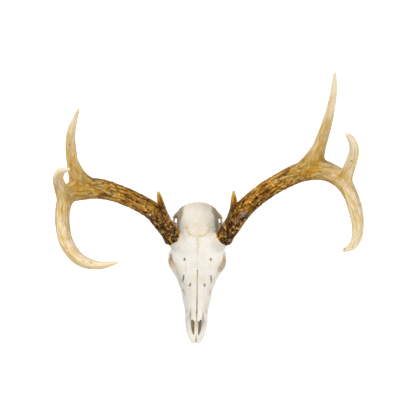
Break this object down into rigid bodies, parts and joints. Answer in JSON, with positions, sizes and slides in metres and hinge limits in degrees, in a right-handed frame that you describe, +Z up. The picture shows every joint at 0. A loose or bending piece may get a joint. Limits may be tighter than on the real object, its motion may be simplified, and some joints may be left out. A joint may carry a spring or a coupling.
{
  "type": "deer skull",
  "caption": "Bleached white-tailed deer skull with forked antlers and upper cheek teeth, without the lower jaw, lying on its teeth.",
  "frame": {"origin": "on the floor, under the middle of the whole object's bounding box", "axes": "+Z up; the nose points to -Y and the antlers sweep back to +Y; +X is the animal's left, and X is the spread of the antlers, the longest extent"},
  "size_m": [0.5484, 0.5106, 0.4249],
  "materials": {
    "bone": "dry bleached bone, faintly stained along the sutures and in the eye sockets",
    "antler_base": "very dark brown pearled antler with worn golden high points",
    "antler_beam": "golden brown antler with darker lengthwise grooves",
    "antler_tine": "rubbed pale ivory antler with small brown flecks, slightly glossy"
  },
  "bodies": {
    "root": {"frontal": "bone", "braincase": "bone", "nasal_left": "bone", "nasal_right": "bone", "maxilla_left": "bone", "maxilla_right": "bone", "premaxilla_left": "bone", "premaxilla_right": "bone", "zygomatic_left": "bone", "zygomatic_right": "bone", "antler_left_burr": "antler_base", "antler_left_beam_lower": "antler_base", "antler_left_beam_fork": "antler_beam", "antler_left_beam_upper": "antler_beam", "antler_left_beam_hook": "antler_tine", "antler_left_beam_tip": "antler_tine", "antler_left_brow_tine": "antler_base", "antler_left_second_tine": "antler_tine", "antler_left_third_tine": "antler_tine", "antler_right_burr": "antler_base", "antler_right_beam_lower": "antler_base", "antler_right_beam_fork": "antler_beam", "antler_right_beam_upper": "antler_beam", "antler_right_beam_hook": "antler_tine", "antler_right_beam_tip": "antler_tine", "antler_right_brow_tine": "antler_base", "antler_right_second_tine": "antler_tine", "antler_right_third_tine": "antler_tine"}
  },
  "joints": []
}
